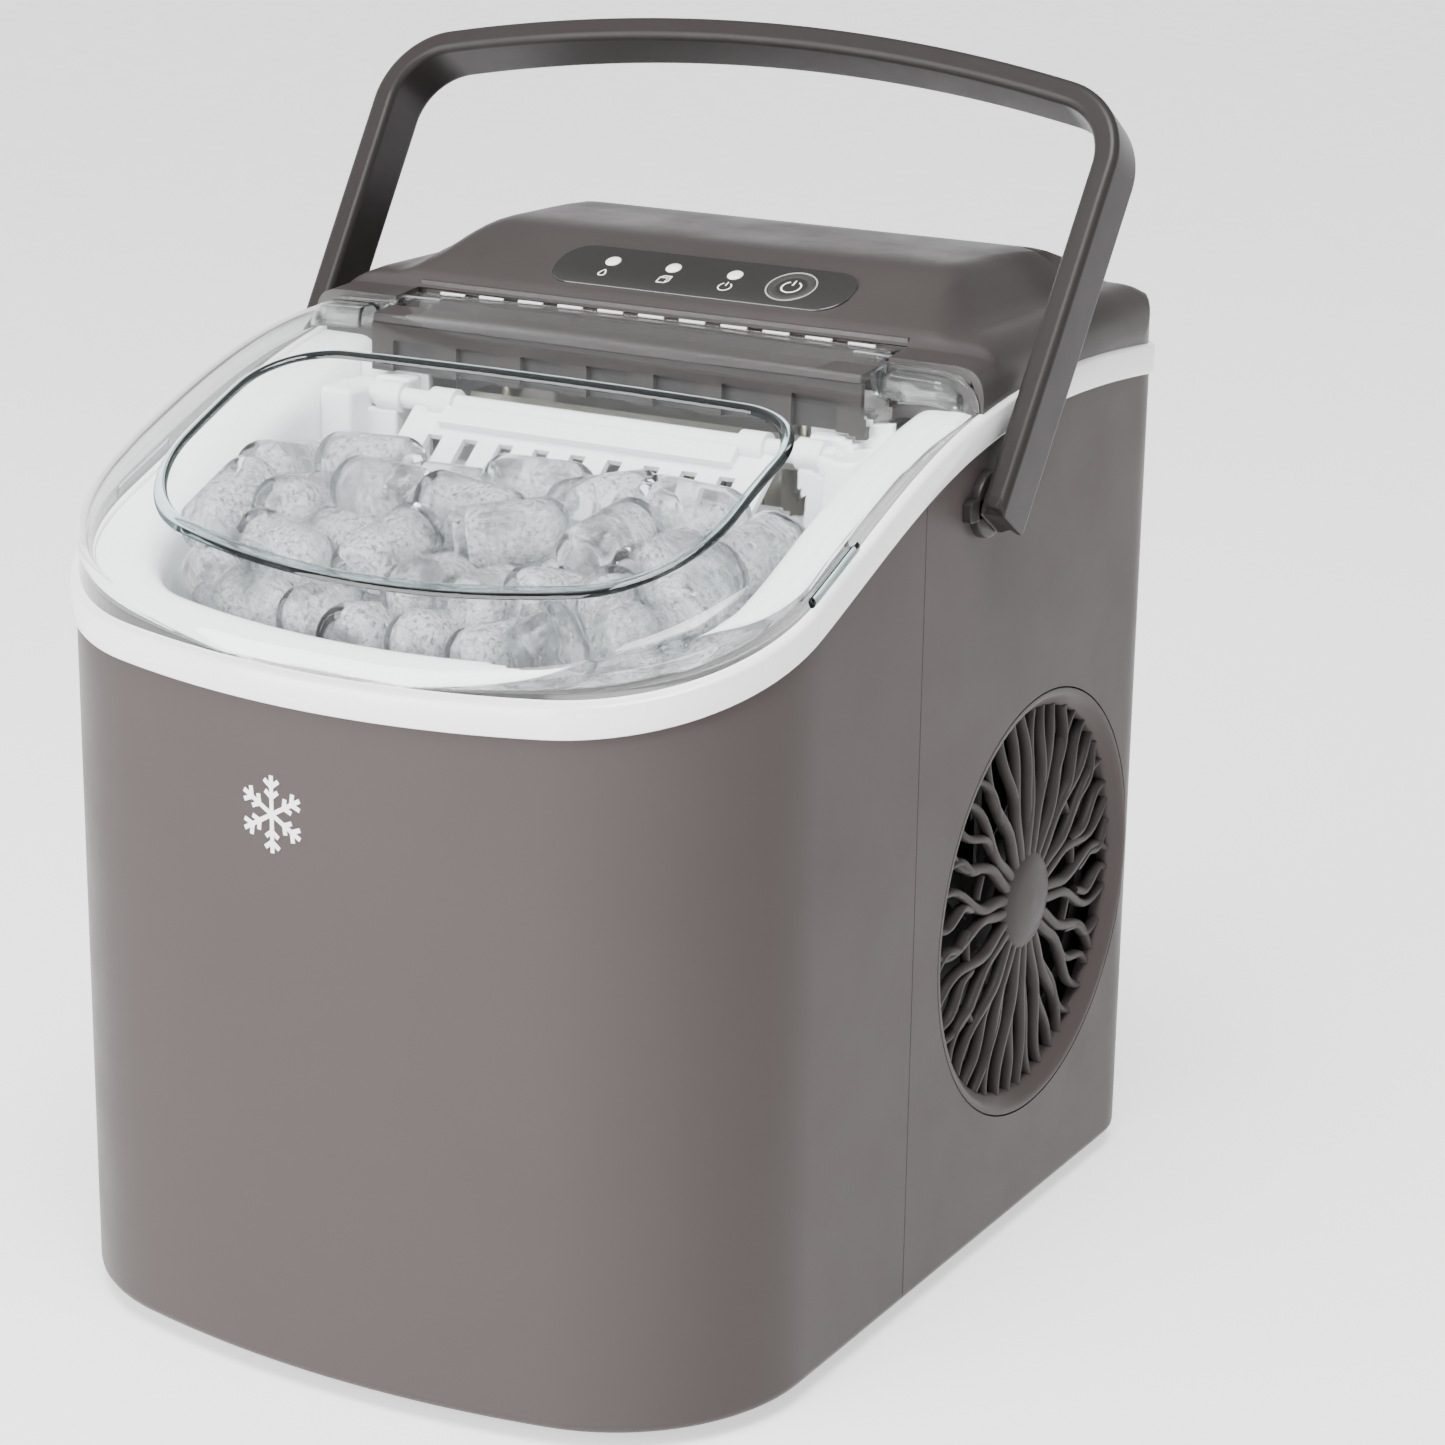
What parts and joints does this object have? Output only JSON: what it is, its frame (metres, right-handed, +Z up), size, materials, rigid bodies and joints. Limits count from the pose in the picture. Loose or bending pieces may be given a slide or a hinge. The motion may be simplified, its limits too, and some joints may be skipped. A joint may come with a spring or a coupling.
{
  "type": "countertop ice maker",
  "caption": "Countertop bullet ice maker with a clear hinged lid over an ice basket, a folding strap handle, a side fan grille and a sloping control panel on its rear deck.",
  "frame": {"origin": "on the worktop, under the middle of the object's box", "axes": "+Z up, -Y towards the front that the user faces, +X towards the side with the fan grille"},
  "size_m": [0.2476, 0.285, 0.346],
  "materials": {
    "casing": "satin warm grey ABS with a fine metallic fleck",
    "casing_dark": "satin dark warm grey ABS",
    "handle": "satin dark taupe ABS",
    "band_white": "glossy white ABS",
    "liner_white": "semi-gloss white food-grade plastic",
    "lid_clear": "clear polycarbonate",
    "panel_black": "gloss charcoal overlay with white marks",
    "led_lens": "milky white lens",
    "button_black": "gloss charcoal cap with a grey ring",
    "base_black": "matt black-grey polypropylene",
    "rubber_black": "soft rubber",
    "steel": "plain bright steel",
    "copper": "drawn copper tube",
    "nickel": "nickel-plated copper",
    "compressor_black": "black stove enamel",
    "aluminium": "bare aluminium",
    "board_green": "green solder mask",
    "hose_clear": "milky silicone hose",
    "fan_black": "matt black moulding",
    "motor_cream": "ivory moulding"
  },
  "bodies": {
    "body": {"base_pan": "base_black", "rubber_feet": "rubber_black", "front_shell": "casing", "rear_shell": "casing", "fan_grille": "casing_dark", "trim_band": "band_white", "inner_liner": "liner_white", "top_deck": "casing", "evaporator_cover": "casing_dark", "control_overlay": "panel_black", "led_add_water": "led_lens", "led_ice_full": "led_lens", "led_power": "led_lens", "control_board": "board_green", "lid_hinge_pins": "steel", "handle_pins": "steel", "handle_bushes": "casing_dark", "ice_full_sensors": "fan_black", "tray_gearmotor": "motor_cream", "evaporator": "nickel", "evaporator_bracket": "steel", "water_pump": "motor_cream", "pump_inlet_hose": "hose_clear", "pump_outlet_hose": "hose_clear", "compressor": "compressor_black", "compressor_mounts": "rubber_black", "compressor_terminal_box": "fan_black", "condenser_fins": "aluminium", "condenser_tube": "copper", "fan_shroud": "fan_black", "fan_motor": "aluminium", "filter_drier": "copper", "discharge_line": "copper", "liquid_line": "copper", "capillary_line": "copper", "suction_line": "copper", "power_board": "board_green", "cord_gland": "rubber_black", "drain_fitting": "casing_dark", "drain_hose": "hose_clear", "case_screws": "steel"},
    "lid": {"lid": "lid_clear"},
    "handle": {"handle": "handle"},
    "power_button": {"power_button": "button_black"},
    "fan_rotor": {"fan_rotor": "fan_black"},
    "water_tray": {"water_tray": "liner_white"},
    "ice_shovel": {"ice_shovel": "liner_white"},
    "ice_basket": {"ice_basket": "liner_white"},
    "drain_plug": {"drain_plug": "base_black"}
  },
  "joints": [
    {"name": "lid_hinge", "type": "hinge", "parent": "body", "child": "lid", "pos_m": [0, 0.0195, 0.2647], "axis": [-1, 0, 0], "range_deg": [0, 110]},
    {"name": "handle_pivot", "type": "hinge", "parent": "body", "child": "handle", "pos_m": [0, 0.0163, 0.229], "axis": [-1, 0, 0], "range_deg": [-112, 27]},
    {"name": "power_button_press", "type": "slide", "parent": "body", "child": "power_button", "axis": [0, 0.3714, -0.9285], "range_m": [0, 0.0008], "stiffness_N_per_m": 800},
    {"name": "fan_spin", "type": "hinge", "parent": "body", "child": "fan_rotor", "pos_m": [0.09, 0.061, 0.1005], "axis": [1, 0, 0], "continuous": true},
    {"name": "tray_tilt", "type": "hinge", "parent": "body", "child": "water_tray", "pos_m": [0, 0.0283, 0.222], "axis": [1, 0, 0], "range_deg": [0, 75]},
    {"name": "shovel_swing", "type": "hinge", "parent": "body", "child": "ice_shovel", "pos_m": [0, -0.0037, 0.24], "axis": [1, 0, 0], "range_deg": [0, 35]},
    {"name": "basket_lift", "type": "slide", "parent": "body", "child": "ice_basket", "axis": [0, 0, 1], "range_m": [0, 0.008]},
    {"name": "drain_plug_pull", "type": "slide", "parent": "body", "child": "drain_plug", "axis": [0, 1, 0], "range_m": [0, 0.014]}
  ],
  "couplings": [
    {"joint": "shovel_swing", "follows": "tray_tilt", "ratio": 0.46667}
  ]
}
